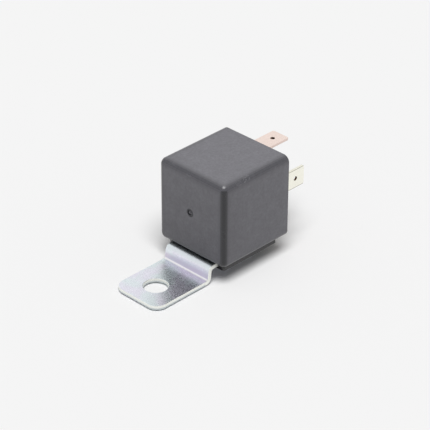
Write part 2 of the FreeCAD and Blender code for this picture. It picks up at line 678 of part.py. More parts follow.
def isRim(edge, plane, face):
    """Whether an edge is a circle lying in one plane across X or Z."""
    span = edge.BoundBox
    low, depth = (span.XMin, span.XLength) if plane == "YZ" else (span.ZMin, span.ZLength)
    return near(low, face) and depth < sameSpot


def makeMovingContact():
    """Two-faced contact riveted through the arm of the spring."""
    body = newBody("moving_contact")
    spot = ("0", "contactHeight")
    shank = newSketch(body, "ShankOutline", "YZ", "-(springBack) - contactDepth")
    addCircle(shank, *spot, "contactShankRadius")
    pad(body, "Shank", shank, "springSheet + 2 * contactDepth")
    inner = newSketch(body, "InnerOutline", "YZ", "-(springFace)")
    addCircle(inner, *spot, "contactRadius")
    pad(body, "InnerButton", inner, "contactDepth")
    outer = newSketch(body, "OuterOutline", "YZ", "-(springBack)")
    addCircle(outer, *spot, "contactRadius")
    pad(body, "OuterButton", outer, "contactDepth", back=True)
    for name, face in (("Inner", "-(springFace) + contactDepth"),
                       ("Outer", "-(springBack) - contactDepth")):
        dress(body, "Chamfer", name + "Edge", lambda edge: isRim(edge, "YZ", face),
              "contactChamfer")
    return hangOnHinge(body)


pieces = [
    makeCover(), makeBase(), makeBracket(), makeWorkBlade(), makeRestBlade(), makeCommonBlade(),
    makeCoilBlade("terminal_85", ""), makeCoilBlade("terminal_86", "-"),
    makeYoke(), makeCore(), makeBobbin(),
    makeRing("winding", "tubeRadius + fitGap", "windingRadius"),
    makeRing("winding_tape", "windingRadius + fitGap", "windingRadius + fitGap + tapeDepth"),
    makeLead("coil_lead_85", "-"), makeLead("coil_lead_86", ""),
    makeArmature(), makeSpring(), makeMovingContact(),
    makeFixedContact("contact_87", "workFace", "contactDepth", True),
    makeFixedContact("contact_87a", "restFace", "contactDepth", False),
    hangOnHinge(makeRivets(
        "armature_rivets",
        [("rivetSpacing / 2", "armatureRivetHeight"), ("-rivetSpacing / 2", "armatureRivetHeight")],
        "YZ", "0", "springBack + fitGap", True)),
    makeRivets(
        "yoke_rivets",
        [("poleFace + yokeRivetReach", "rivetSpacing / 2"),
         ("poleFace + yokeRivetReach", "-rivetSpacing / 2")],
        "XY", "yokeLegTop", "yokeSheet + springSheet + 2 * fitGap", True),
]
doc.recompute()

for thing in doc.Objects:
    if "Invalid" in thing.State or "Error" in thing.State:
        raise ValueError(f"{thing.Name} failed: {thing.State}")
for piece in pieces:
    if piece.Shape.isNull() or not piece.Shape.isValid() or not piece.Shape.Solids:
        raise ValueError(f"{piece.Label} has no sound shape")

os.makedirs("parts", exist_ok=True)
for piece in pieces:
    piece.Shape.exportStep(f"parts/{piece.Label}.step")
    span = piece.Shape.BoundBox
    print(f"{piece.Label:16} {len(piece.Shape.Solids)} solid  {piece.Shape.Volume:9.2f} mm3  "
          f"x {span.XMin:6.2f} {span.XMax:6.2f}  y {span.YMin:6.2f} {span.YMax:6.2f}  "
          f"z {span.ZMin:6.2f} {span.ZMax:6.2f}")
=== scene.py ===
import math

import bpy
from mathutils import Matrix, Vector


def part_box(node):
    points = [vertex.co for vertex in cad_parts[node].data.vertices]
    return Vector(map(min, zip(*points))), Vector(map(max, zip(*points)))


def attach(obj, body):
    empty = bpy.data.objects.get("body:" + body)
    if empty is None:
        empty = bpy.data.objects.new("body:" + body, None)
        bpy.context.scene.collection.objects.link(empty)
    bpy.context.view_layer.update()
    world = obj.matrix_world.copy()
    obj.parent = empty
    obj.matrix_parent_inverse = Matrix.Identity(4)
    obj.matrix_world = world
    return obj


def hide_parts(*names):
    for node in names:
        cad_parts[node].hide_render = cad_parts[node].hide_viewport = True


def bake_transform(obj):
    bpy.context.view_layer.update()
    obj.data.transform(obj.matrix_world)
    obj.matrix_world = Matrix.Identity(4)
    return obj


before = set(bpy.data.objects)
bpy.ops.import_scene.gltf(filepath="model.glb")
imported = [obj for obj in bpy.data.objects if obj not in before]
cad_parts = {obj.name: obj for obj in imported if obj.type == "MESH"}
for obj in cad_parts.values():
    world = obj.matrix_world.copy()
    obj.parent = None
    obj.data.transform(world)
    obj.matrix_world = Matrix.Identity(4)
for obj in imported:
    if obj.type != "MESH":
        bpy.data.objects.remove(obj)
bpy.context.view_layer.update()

print("frame loaded:", len(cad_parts), "nodes")


# Node helpers: most put a node in a material's tree and give back the socket that carries on

def newMaterial(name):
    material = bpy.data.materials.new(name)
    material.use_nodes = True
    tree = material.node_tree
    return material, tree, tree.nodes["Principled BSDF"]


def addNode(tree, kind, inputs=None, **settings):
    node = tree.nodes.new(kind)
    for name, setting in settings.items():
        setattr(node, name, setting)
    for key, source in (inputs or {}).items():
        if isinstance(source, bpy.types.NodeSocket):
            tree.links.new(source, node.inputs[key])
        else:
            node.inputs[key].default_value = source
    return node


def objectPlace(tree):
    return addNode(tree, "ShaderNodeTexCoord").outputs["Object"]


def objectNormal(tree):
    return addNode(tree, "ShaderNodeTexCoord").outputs["Normal"]


def stretched(tree, place, scale):
    node = addNode(tree, "ShaderNodeMapping", {"Vector": place, "Scale": scale})
    return node.outputs["Vector"]


def noise(tree, place, scale, detail=2.0, roughness=0.5, distortion=0.0):
    node = addNode(tree, "ShaderNodeTexNoise", {
        "Vector": place, "Scale": scale, "Detail": detail, "Roughness": roughness,
        "Distortion": distortion})
    return node.outputs["Fac"]


def maths(tree, operation, first, second=0.0, third=0.0):
    node = addNode(tree, "ShaderNodeMath", {0: first, 1: second, 2: third}, operation=operation)
    return node.outputs["Value"]


def times(tree, first, second):
    return maths(tree, "MULTIPLY", first, second)


def hypotenuse(tree, first, second):
    squares = maths(tree, "MULTIPLY_ADD", first, first, times(tree, second, second))
    return maths(tree, "SQRT", squares)


def spread(tree, source, low, high, lowTo=0.0, highTo=1.0):
    node = addNode(tree, "ShaderNodeMapRange", {
        "Value": source, "From Min": low, "From Max": high, "To Min": lowTo, "To Max": highTo})
    return node.outputs["Result"]


noiseRange = (0.3, 0.7)    # most of what a noise node gives lies between these


def spreadNoise(tree, source, lowTo, highTo):
    return spread(tree, source, *noiseRange, lowTo, highTo)


def smooth(tree, source, low, high):
    node = addNode(tree, "ShaderNodeMapRange", {
        "Value": source, "From Min": low, "From Max": high}, interpolation_type="SMOOTHSTEP")
    return node.outputs["Result"]


def band(tree, source, rise, fall):
    return times(tree, smooth(tree, source, *rise), smooth(tree, source, *fall))


def mixNumbers(tree, share, first, second):
    node = addNode(tree, "ShaderNodeMix", {0: share, 2: first, 3: second})
    return node.outputs[0]


def blendColours(tree, share, first, second, blend="MIX"):
    node = addNode(tree, "ShaderNodeMix", data_type="RGBA", blend_type=blend)
    for socket, source in zip((node.inputs[0], node.inputs[6], node.inputs[7]),
                              (share, first, second)):
        if isinstance(source, bpy.types.NodeSocket):
            tree.links.new(source, socket)
        elif isinstance(source, (tuple, list)):
            socket.default_value = (*source, 1.0)
        else:
            socket.default_value = source
    return node.outputs[2]


def vary(tree, colour, source, low, high):
    shade = spreadNoise(tree, source, low, high)
    return blendColours(tree, 1.0, colour, shade, "MULTIPLY")


def split(tree, vector):
    return addNode(tree, "ShaderNodeSeparateXYZ", {"Vector": vector}).outputs


def bump(tree, height, strength, depth, under=None):
    inputs = {"Height": height, "Strength": strength, "Distance": depth}
    if under:
        inputs["Normal"] = under
    return addNode(tree, "ShaderNodeBump", inputs).outputs["Normal"]


def linkShader(tree, shader, colour, rough, relief=None):
    tree.links.new(colour, shader.inputs["Base Color"])
    tree.links.new(rough, shader.inputs["Roughness"])
    if relief:
        tree.links.new(relief, shader.inputs["Normal"])


# Moulded plastic: spark-eroded grain on the flats, smoother rounds painted darker, partly for
# their polish and partly as shade.
# A noise is given here and below as scale, detail, roughness and, for some, distortion.

coverPlastic = {
    "flatColour": (0.134, 0.132, 0.148),
    "cornerShade": (0.008, 0.008, 0.011),     # painted shade on the lower half of the ball corners
    "uprightRound": (0.053, 0.051, 0.062),  # rounds between two side faces: polish and painted shade
    "levelRound": (0.054, 0.053, 0.063),    # rounds along the top and the sole: polish and a painted shade of their own
    "scuffColour": (0.200, 0.198, 0.215),
    # painted shadow on the sole, its rails and the faces turned down
    "soleShade": (0.004, 0.004, 0.005),
    "soleRoughness": 0.34,
    "flatRoughness": 0.56,
    "roundRoughness": 0.25,
    "grain": (5200.0, 3.0, 0.7),
    "grainDepth": 0.000030,
    "mottle": (300.0, 5.0, 0.68),
    "mottleShades": (0.90, 1.10),
    "sideShades": (0.69, 0.91),                # painted shade on the sides, darkest first
    "refraction": 1.58,
    # Grain is worn off the flats this far in from the side, end and top rounds
    "worn": {"side": (0.0104, 0.0116), "end": (0.0176, 0.0164), "top": (0.0302, 0.0314),
             "share": 0.50},
    # Painted shade in and around the gate mark's recess on the end face
    "gate": {"y": 0.0003, "z": 0.01985, "face": 0.0152, "rise": (0.00042, 0.00062),
             "fall": (0.00148, 0.00118), "share": 0.85},
}
basePlastic = {
    "flatColour": (0.085, 0.084, 0.093),
    "cornerShade": (0.030, 0.030, 0.036),
    "uprightRound": (0.040, 0.040, 0.046),
    "levelRound": (0.060, 0.060, 0.068),
    "scuffColour": (0.130, 0.128, 0.140),
    # painted shade on the faces turned down and below the sole's height
    "soleShade": (0.070, 0.070, 0.078),
    "soleRoughness": 0.60,
    "flatRoughness": 0.48,
    "roundRoughness": 0.30,
    "grain": (4200.0, 3.0, 0.7),
    "grainDepth": 0.000020,
    "mottle": (500.0, 5.0, 0.68),
    "mottleShades": (0.92, 1.08),
    "sideShades": (0.80, 1.02),
    "refraction": 1.55,
    # Round marks of four ejector pins on the outer face
    "pins": {"out": 0.0082, "middle": 0.0200, "up": 0.0080, "disc": (0.00130, 0.00120),
             "face": 0.0390, "relief": (0.8, 0.00008), "roughness": -0.10},
}
mouldedForm = {
    # How far a face has turned, by the parts of its normal
    "roundStart": (0.998, 0.962),
    "roundMiddle": (1.0, 0.80),
    "startShare": 0.75,
    "ball": (0.12, 0.40),
    "level": (0.05, 0.45),
    "levelOnBall": (0.42, 0.66),
    "lowOnBall": (0.62, 0.40),
    "flat": (0.5, 0.9),
    "downwards": (-0.45, -0.80),
    "soleHeight": (0.00598, 0.00578),    # the painted shadow of the sole ends between these
}
mouldedTone = {
    "drawStretch": (1.0, 1.0, 0.10),
    "drawMarks": (900.0, 3.0, 0.6),
    "drawShades": (0.955, 1.04),
    "specks": (1200.0, 4.0, 0.75),
    "speckShades": (0.87, 1.13),
    "roundClouds": (800.0, 4.0, 0.7),
    "roundShades": (0.82, 1.16),
    # Painted shade darkens the sides, less towards the mouth, the top edge and on the end face
    "shadingAlong": 5.0,
    "shadingUp": 4.0,
    "shadingNoise": (70.0, 3.0, 0.55),
    "shadingDrift": 0.14,
    "shadingOnEnd": 0.06,
    "shadingRange": (0.17, 0.37),
}
mouldedScuffs = {
    "stretch": (0.6, 0.6, 1.0),
    "streaks": (1700.0, 5.0, 0.72),
    "streakRange": (0.50, 0.66),
    "patches": (170.0, 2.0, 0.5),
    "patchRange": (0.52, 0.66),
    "reach": (0.10, 0.60),      # on the flats, and on the level rounds
    "roughness": 0.10,
}
grainStrength = (0.5, 0.06)     # on the flats, and on the rounds


def largest(tree, vector):
    x, y, z = (maths(tree, "ABSOLUTE", part) for part in split(tree, vector))
    return maths(tree, "MAXIMUM", maths(tree, "MAXIMUM", x, y), z)


def pinMarks(tree, place, pins):
    x, y, z = split(tree, place)
    outwards = maths(tree, "SUBTRACT", maths(tree, "ABSOLUTE", y), pins["out"])
    upwards = maths(tree, "ABSOLUTE", maths(tree, "SUBTRACT", z, pins["middle"]))
    upwards = maths(tree, "SUBTRACT", upwards, pins["up"])
    disc = smooth(tree, hypotenuse(tree, outwards, upwards), *pins["disc"])
    return times(tree, disc, maths(tree, "GREATER_THAN", x, pins["face"]))


def wornEdges(tree, place, worn):
    x, y, z = split(tree, place)
    side = smooth(tree, maths(tree, "ABSOLUTE", y), *worn["side"])
    end, top = smooth(tree, x, *worn["end"]), smooth(tree, z, *worn["top"])
    wear = maths(tree, "MAXIMUM", maths(tree, "MINIMUM", side, end),
                 maths(tree, "MINIMUM", side, top))
    wear = maths(tree, "MAXIMUM", wear, maths(tree, "MINIMUM", end, top))
    return times(tree, wear, worn["share"])


def gateShade(tree, place, gate):
    x, y, z = split(tree, place)
    away = hypotenuse(tree, maths(tree, "SUBTRACT", y, gate["y"]),
                      maths(tree, "SUBTRACT", z, gate["z"]))
    ring = times(tree, band(tree, away, gate["fall"], gate["rise"]),
                 maths(tree, "LESS_THAN", x, gate["face"]))
    return times(tree, ring, gate["share"])


def roundMask(tree, place, normal, look):
    form, turned = mouldedForm, largest(tree, normal)
    middle = spread(tree, turned, *form["roundMiddle"], 0.0, 1.0 - form["startShare"])
    mask = maths(tree, "MULTIPLY_ADD", smooth(tree, turned, *form["roundStart"]),
                 form["startShare"], middle)
    if "worn" in look:
        mask = maths(tree, "MAXIMUM", mask, wornEdges(tree, place, look["worn"]))
    return mask


def flatTone(tree, place, nx, nz, look):
    tone = vary(tree, look["flatColour"], noise(tree, place, *look["mottle"]),
                *look["mottleShades"])
    drawn = stretched(tree, place, mouldedTone["drawStretch"])
    tone = vary(tree, tone, noise(tree, drawn, *mouldedTone["drawMarks"]),
                *mouldedTone["drawShades"])
    tone = vary(tree, tone, noise(tree, place, *mouldedTone["specks"]),
                *mouldedTone["speckShades"])
    # Painted shade: the sides darker than the top, most near the bottom and the closed end,
    # with a slow drift
    x, y, z = split(tree, place)
    shading = maths(tree, "MULTIPLY_ADD", x, mouldedTone["shadingAlong"],
                 times(tree, z, mouldedTone["shadingUp"]))
    shading = maths(tree, "MULTIPLY_ADD", noise(tree, place, *mouldedTone["shadingNoise"]),
                 mouldedTone["shadingDrift"], shading)
    shading = maths(tree, "MULTIPLY_ADD", smooth(tree, nx, *mouldedForm["flat"]),
                 mouldedTone["shadingOnEnd"], shading)
    shading = spread(tree, shading, *mouldedTone["shadingRange"], *look["sideShades"])
    shading = mixNumbers(tree, smooth(tree, nz, *mouldedForm["flat"]), shading, 1.0)
    return blendColours(tree, 1.0, tone, shading, "MULTIPLY")


def roundTone(tree, place, ball, level, nz, look):
    # Rounds are painted darker partly for their polish and partly as shade, told apart by which
    # way they turn
    tone = blendColours(tree, level, look["uprightRound"], look["levelRound"])
    # Painted shade on the lower half of the ball corners
    low = times(tree, ball, smooth(tree, nz, *mouldedForm["lowOnBall"]))
    tone = blendColours(tree, low, tone, look["cornerShade"])
    return vary(tree, tone, noise(tree, place, *mouldedTone["roundClouds"]),
                *mouldedTone["roundShades"])


def scuffMarks(tree, place):
    streaks = noise(tree, stretched(tree, place, mouldedScuffs["stretch"]),
                    *mouldedScuffs["streaks"])
    patches = smooth(tree, noise(tree, place, *mouldedScuffs["patches"]),
                     *mouldedScuffs["patchRange"])
    return times(tree, smooth(tree, streaks, *mouldedScuffs["streakRange"]), patches)


def makeMouldedPlastic(name, look):
    material, tree, shader = newMaterial(name)
    shader.inputs["IOR"].default_value = look["refraction"]
    form, place, normal = mouldedForm, objectPlace(tree), objectNormal(tree)
    parts = split(tree, normal)
    nx, ny, nz = (maths(tree, "ABSOLUTE", part) for part in parts)
    onRound = roundMask(tree, place, normal, look)
    ball = smooth(tree, maths(tree, "MINIMUM", nx, ny), *form["ball"])
    level = mixNumbers(tree, ball, smooth(tree, nz, *form["level"]),
                       smooth(tree, nz, *form["levelOnBall"]))
    colour = blendColours(tree, onRound, flatTone(tree, place, nx, nz, look),
                          roundTone(tree, place, ball, level, nz, look))
    # Painted shade in a ring about the gate mark
    if "gate" in look:
        colour = blendColours(tree, gateShade(tree, place, look["gate"]), colour,
                              look["cornerShade"])
    # Painted shadow: faces turned down, and the sole with its rails below the sole's height,
    # take the sole shade
    under = maths(tree, "MAXIMUM", smooth(tree, parts[2], *form["downwards"]),
                  smooth(tree, split(tree, place)[2], *form["soleHeight"]))
    colour = blendColours(tree, under, colour, look["soleShade"])
    # Handling marks: short pale scuffs, most of them along the edges
    marks = scuffMarks(tree, place)
    reach = mixNumbers(tree, times(tree, onRound, level), *mouldedScuffs["reach"])
    colour = blendColours(tree, times(tree, marks, reach), colour, look["scuffColour"])
    rough = spread(tree, onRound, 0.0, 1.0, look["flatRoughness"], look["roundRoughness"])
    rough = maths(tree, "MULTIPLY_ADD", marks, mouldedScuffs["roughness"], rough)
    rough = mixNumbers(tree, under, rough, look["soleRoughness"])
    relief = None
    if "pins" in look:
        pins = pinMarks(tree, place, look["pins"])
        rough = maths(tree, "MULTIPLY_ADD", pins, look["pins"]["roughness"], rough)
        relief = bump(tree, maths(tree, "SUBTRACT", 1.0, pins), *look["pins"]["relief"])
    strength = spread(tree, onRound, 0.0, 1.0, *grainStrength)
    relief = bump(tree, noise(tree, place, *look["grain"]), strength, look["grainDepth"],
                  relief)
    linkShader(tree, shader, colour, rough, relief)
    return material


# Zinc plating with its faint violet and green passivation, bare ivory cut edges, and painted
# reflections and a painted highlight on the crank

zincPlate = {
    "tintCool": (0.80, 0.88, 0.90),
    "tintViolet": (0.84, 0.83, 0.92),
    "violet": (0.67, 0.63, 0.74),         # a painted violet-grey reflection just above the crank's crease
    # painted highlight along the crank's crease
    "creaseHighlight": (0.88, 0.87, 0.89),
    "bendReflection": (0.74, 0.80, 0.82),       # and a painted cooler reflection over its outer bend
    "bendShare": 0.7,
    "cutEdge": (0.90, 0.91, 0.87),
    "brokenEdge": (0.60, 0.64, 0.65),
    "drift": (130.0, 3.0, 0.55, 0.6),
    "driftRange": (0.38, 0.62),
    "cloud": (520.0, 4.0, 0.65),
    "cloudShades": (0.95, 1.04),
    "cloudRelief": (0.20, 0.000020),
    "frost": (2300.0, 4.0, 0.75),
    "frostShades": (0.88, 1.10),
    "frostRange": (0.42, 0.60),
    "frostRelief": (0.60, 0.000020),
    "roughness": (0.24, 0.44),            # between the ear's frost grains
    "riserRoughness": 0.34,
    "cutRoughness": 0.62,
    # Where each zone begins and ends, along the bracket (x) or up the crank (z)
    "riserX": (0.0112, 0.0124),
    "violetZ": ((0.0015, 0.0019), (0.0042, 0.0026)),
    "creaseX": (0.0110, 0.0116),
    "creaseZ": ((0.00137, 0.00142), (0.0018, 0.0016)),
    "bendZ": (0.0043, 0.0052),
    "brokenZ": (0.00090, 0.00060),
    "brokenRagged": 0.0004,
    "brokenEnd": 0.0115,
    # Cut edges face sideways, or lengthways before earEnd and past stripEnd
    "sideFaces": (0.25, 0.55),
    "endFaces": (0.80, 0.45),
    "earEnd": 0.010,
    "stripEnd": 0.030,
}


def zincTone(tree, place, riser, cloud, frost):
    look = zincPlate
    drift = smooth(tree, noise(tree, place, *look["drift"]), *look["driftRange"])
    tone = blendColours(tree, drift, look["tintCool"], look["tintViolet"])
    tone = vary(tree, tone, cloud, *look["cloudShades"])
    tone = vary(tree, tone, frost, *look["frostShades"])
    x, y, z = split(tree, place)
    # Painted reflections on the crank: a violet-grey band above the crease, a highlight along
    # it and a cooler band over the outer bend
    above = times(tree, band(tree, z, *look["violetZ"]), riser)
    tone = blendColours(tree, above, tone, look["violet"])
    crease = times(tree, band(tree, z, *look["creaseZ"]), smooth(tree, x, *look["creaseX"]))
    tone = blendColours(tree, crease, tone, look["creaseHighlight"])
    bend = times(tree, riser, smooth(tree, z, *look["bendZ"]))
    return blendColours(tree, times(tree, bend, look["bendShare"]), tone, look["bendReflection"])


def makeZincPlate():
    look = zincPlate
    material, tree, shader = newMaterial("zincPlate")
    place, normal = objectPlace(tree), objectNormal(tree)
    shader.inputs["Metallic"].default_value = 1.0
    cloud = noise(tree, place, *look["cloud"])
    frost = noise(tree, place, *look["frost"])
    x, y, z = split(tree, place)
    facing = split(tree, normal)
    sideways = smooth(tree, maths(tree, "ABSOLUTE", facing[1]), *look["sideFaces"])
    lengthways = smooth(tree, maths(tree, "ABSOLUTE", facing[2]), *look["endFaces"])
    atEnds = maths(tree, "MAXIMUM", maths(tree, "LESS_THAN", x, look["earEnd"]),
                   maths(tree, "GREATER_THAN", x, look["stripEnd"]))
    cut = maths(tree, "MAXIMUM", sideways, times(tree, lengthways, atEnds))
    riser = smooth(tree, x, *look["riserX"])
    # A sheared edge is bright where the punch cut it and dull where it broke off, lower down
    ragged = maths(tree, "MULTIPLY_ADD", cloud, look["brokenRagged"], z)
    broken = times(tree, smooth(tree, ragged, *look["brokenZ"]),
                   maths(tree, "LESS_THAN", x, look["brokenEnd"]))
    edge = blendColours(tree, broken, look["cutEdge"], look["brokenEdge"])
    colour = blendColours(tree, cut, zincTone(tree, place, riser, cloud, frost), edge)
    rough = spread(tree, frost, *look["frostRange"], *look["roughness"])
    rough = mixNumbers(tree, riser, rough, look["riserRoughness"])
    rough = mixNumbers(tree, cut, rough, look["cutRoughness"])
    fine = bump(tree, frost, *look["frostRelief"])
    linkShader(tree, shader, colour, rough, bump(tree, cloud, *look["cloudRelief"], fine))
    return material


# Blade strip: rolled faces with a matt flash, sheared edges, and painted shade along the edges
# that do not face up and in the detent holes

copperStrip = {
    "face": (0.95, 0.80, 0.73),
    "sheared": (0.90, 0.75, 0.69),
    "edgeShade": (0.42, 0.32, 0.28),
    "edgeShadeFaces": (0.15, -0.35),    # upward parts of the normals between which the painted edge shade shows
    # painted shade inside the detent hole
    "bore": (0.16, 0.09, 0.06),
}
brassStrip = {
    "face": (0.97, 0.955, 0.855),
    "sheared": (0.95, 0.935, 0.83),
    "edgeShade": (0.24, 0.22, 0.16),
    "edgeShadeFaces": (0.50, 0.00),
    "bore": (0.20, 0.11, 0.05),
}
bladeStrip = {
    "stretch": (0.06, 1.0, 1.0),
    "lines": (5200.0, 4.0, 0.65),
    "lineShades": (0.94, 1.03),
    "lineRelief": (0.25, 0.000008),
    "flash": (420.0, 3.0, 0.6),           # patches where the flash is duller
    "flashRange": (0.50, 0.75),
    "flashShade": 0.93,
    "roughness": (0.29, 0.41),
    "cutRoughness": 0.5,
    "cutFaces": (0.98, 0.60),
    "outOfBase": (0.0406, 0.0414),        # edges are sheared only where the blade is out
    "edgeShadeFrom": (0.00288, 0.00304),       # measured from the blade's middle line
    "holeAlong": 0.04925,
    "holeRim": (0.00072, 0.00070),
}


def makeBladeMetal(name, look, thin, middle):
    # thin: axis through the sheet; middle: the blade's centre on its other cross axis
    material, tree, shader = newMaterial(name)
    place, normal = objectPlace(tree), objectNormal(tree)
    shader.inputs["Metallic"].default_value = 1.0
    lines = noise(tree, stretched(tree, place, bladeStrip["stretch"]), *bladeStrip["lines"])
    tone = vary(tree, look["face"], lines, *bladeStrip["lineShades"])
    flash = smooth(tree, noise(tree, place, *bladeStrip["flash"]), *bladeStrip["flashRange"])
    tone = blendColours(tree, flash, tone,
                        tuple(part * bladeStrip["flashShade"] for part in look["face"]))
    parts, facing = split(tree, place), split(tree, normal)
    past = smooth(tree, parts[0], *bladeStrip["outOfBase"])
    turned = smooth(tree, maths(tree, "ABSOLUTE", facing[thin]), *bladeStrip["cutFaces"])
    cut = times(tree, turned, past)
    tone = blendColours(tree, cut, tone, look["sheared"])
    across = maths(tree, "SUBTRACT", parts[3 - thin], middle)
    # Painted shade along the sheet's edges that do not face up
    edgeShade = smooth(tree, maths(tree, "ABSOLUTE", across), *bladeStrip["edgeShadeFrom"])
    shown = times(tree, past, smooth(tree, facing[2], *look["edgeShadeFaces"]))
    tone = blendColours(tree, times(tree, edgeShade, shown), tone, look["edgeShade"])
    # Painted shade on the detent hole's wall
    along = maths(tree, "SUBTRACT", parts[0], bladeStrip["holeAlong"])
    inHole = smooth(tree, hypotenuse(tree, along, across), *bladeStrip["holeRim"])
    tone = blendColours(tree, inHole, tone, look["bore"])
    rough = spreadNoise(tree, lines, *bladeStrip["roughness"])
    rough = mixNumbers(tree, cut, rough, bladeStrip["cutRoughness"])
    linkShader(tree, shader, tone, rough, bump(tree, lines, *bladeStrip["lineRelief"]))
    return material


# Inner metals: plated soft iron, spring bronze, silver and rivet steel

ironPlate = {
    "colour": (0.60, 0.61, 0.62), "stain": (0.53, 0.53, 0.52), "roughness": (0.30, 0.46),
    "stretch": (0.15, 1.0, 1.0), "lines": (3600.0, 4.0, 0.65), "relief": (0.30, 0.000012),
}
springBronze = {
    "colour": (0.80, 0.57, 0.34), "stain": (0.71, 0.49, 0.30), "roughness": (0.20, 0.36),
    "stretch": (1.0, 1.0, 0.06), "lines": (5200.0, 4.0, 0.65), "relief": (0.30, 0.000005),
}
contactSilver = {
    "colour": (0.90, 0.89, 0.86), "stain": (0.55, 0.50, 0.44), "roughness": (0.24, 0.40),
    "stretch": (1.0, 1.0, 1.0), "lines": (4200.0, 4.0, 0.65), "relief": (0.30, 0.000006),
}
rivetSteel = {
    "colour": (0.68, 0.69, 0.70), "stain": (0.50, 0.48, 0.45), "roughness": (0.24, 0.40),
    "stretch": (1.0, 1.0, 1.0), "lines": (3000.0, 4.0, 0.65), "relief": (0.30, 0.000010),
}
innerStains = {
    "noise": (480.0, 4.0, 0.62, 0.4),
    "range": (0.42, 0.78),
    "roughness": 0.12,
    "lineShades": (0.92, 1.05),
}


def makeInnerMetal(name, look):
    material, tree, shader = newMaterial(name)
    place = objectPlace(tree)
    shader.inputs["Metallic"].default_value = 1.0
    lines = noise(tree, stretched(tree, place, look["stretch"]), *look["lines"])
    stains = smooth(tree, noise(tree, place, *innerStains["noise"]), *innerStains["range"])
    tone = blendColours(tree, stains, look["colour"], look["stain"])
    tone = vary(tree, tone, lines, *innerStains["lineShades"])
    rough = spreadNoise(tree, lines, *look["roughness"])
    rough = maths(tree, "MULTIPLY_ADD", stains, innerStains["roughness"], rough)
    linkShader(tree, shader, tone, rough, bump(tree, lines, *look["relief"]))
    return material


bobbinPlastic = {
    "colour": (0.72, 0.69, 0.60),
    "cloud": (0.66, 0.62, 0.52),
    "stretch": (1.0, 0.5, 1.0),
    "flow": (350.0, 3.0, 0.55, 1.2),
    "flowRange": (0.35, 0.68),
    "grain": (3800.0, 3.0, 0.6),
    "grainRelief": (0.25, 0.00001),
    "roughness": (0.36, 0.50),
}


def makeBobbinPlastic():
    look = bobbinPlastic
    material, tree, shader = newMaterial("bobbinPlastic")
    place = objectPlace(tree)
    flow = noise(tree, stretched(tree, place, look["stretch"]), *look["flow"])
    tone = blendColours(tree, smooth(tree, flow, *look["flowRange"]), look["colour"],
                        look["cloud"])
    grain = noise(tree, place, *look["grain"])
    linkShader(tree, shader, tone, spreadNoise(tree, grain, *look["roughness"]),
               bump(tree, grain, *look["grainRelief"]))
    return material


coilWire = {
    "colour": (0.62, 0.22, 0.07),
    "dark": (0.40, 0.12, 0.035),
    "metallic": 0.85,
    "coat": 0.7,              # clear enamel over the copper
    "coatRoughness": 0.12,
    "stretch": (1.0, 0.15, 0.15),
    "layers": (2400.0, 3.0, 0.6),
    "layerRange": (0.42, 0.70),
    "roughness": (0.24, 0.40),
}


def makeCoilWire():
    look = coilWire
    material, tree, shader = newMaterial("coilWire")
    place = objectPlace(tree)
    shader.inputs["Metallic"].default_value = look["metallic"]
    shader.inputs["Coat Weight"].default_value = look["coat"]
    shader.inputs["Coat Roughness"].default_value = look["coatRoughness"]
    layers = noise(tree, stretched(tree, place, look["stretch"]), *look["layers"])
    tone = blendColours(tree, smooth(tree, layers, *look["layerRange"]), look["colour"],
                        look["dark"])
    linkShader(tree, shader, tone, spreadNoise(tree, layers, *look["roughness"]))
    return material


coilTape = {
    "colour": (0.70, 0.50, 0.13),
    "overlap": (0.56, 0.37, 0.08),
    "coat": 0.4,
    "wraps": 0.0052,          # width of one wrap along the coil
    "slant": 0.25,
    "lapRange": (0.60, 0.64),
    "lapRelief": (0.5, 0.00004),
    "stretch": (1.0, 0.4, 0.4),
    "creases": (1300.0, 4.0, 0.6, 0.5),
    "creaseShades": (0.90, 1.06),
    "creaseRelief": (0.35, 0.00003),
    "roughness": (0.23, 0.40),
}


def makeCoilTape():
    look = coilTape
    material, tree, shader = newMaterial("coilTape")
    place = objectPlace(tree)
    shader.inputs["Coat Weight"].default_value = look["coat"]
    x, y, z = split(tree, place)
    along = maths(tree, "MULTIPLY_ADD", y, look["slant"], x)
    step = maths(tree, "FRACT", maths(tree, "DIVIDE", along, look["wraps"]))
    lap = smooth(tree, step, *look["lapRange"])
    creases = noise(tree, stretched(tree, place, look["stretch"]), *look["creases"])
    tone = blendColours(tree, lap, look["colour"], look["overlap"])
    tone = vary(tree, tone, creases, *look["creaseShades"])
    raised = bump(tree, lap, *look["lapRelief"])
    linkShader(tree, shader, tone, spreadNoise(tree, creases, *look["roughness"]),
               bump(tree, creases, *look["creaseRelief"], raised))
    return material


finishes = {
    "coverPlastic": makeMouldedPlastic("coverPlastic", coverPlastic),
    "basePlastic": makeMouldedPlastic("basePlastic", basePlastic),
    "zincPlate": makeZincPlate(),
    "copperFlat": makeBladeMetal("copperFlat", copperStrip, 2, 0.0),
    "copperUpright": makeBladeMetal("copperUpright", copperStrip, 1, 0.01305),
    "brassUpright": makeBladeMetal("brassUpright", brassStrip, 1, 0.0212),
    "ironPlate": makeInnerMetal("ironPlate", ironPlate),
    "springBronze": makeInnerMetal("springBronze", springBronze),
    "contactSilver": makeInnerMetal("contactSilver", contactSilver),
    "rivetSteel": makeInnerMetal("rivetSteel", rivetSteel),
    "bobbinPlastic": makeBobbinPlastic(),
    "coilWire": makeCoilWire(),
    "coilTape": makeCoilTape(),
}
print("finishes made:", len(finishes))


def dressNode(node, finish):
    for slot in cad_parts[node].material_slots:
        slot.material = finishes[finish]


dressNode("cover", "coverPlastic")
dressNode("coil_lead_85", "coilWire")
dressNode("coil_lead_86", "coilWire")


# Stamped, turned and moulded pieces: each is a merged copy of its solid with broken edges

edgeWork = {
    "mergeWithin": 1e-6,
    "flatUnder": math.radians(0.3),      # faces this near to one plane become one
    "bevelOver": math.radians(38.0),
    "smoothUnder": math.radians(32.0),
    "steps": 2,                          # bevel segments, where a piece gives none
}


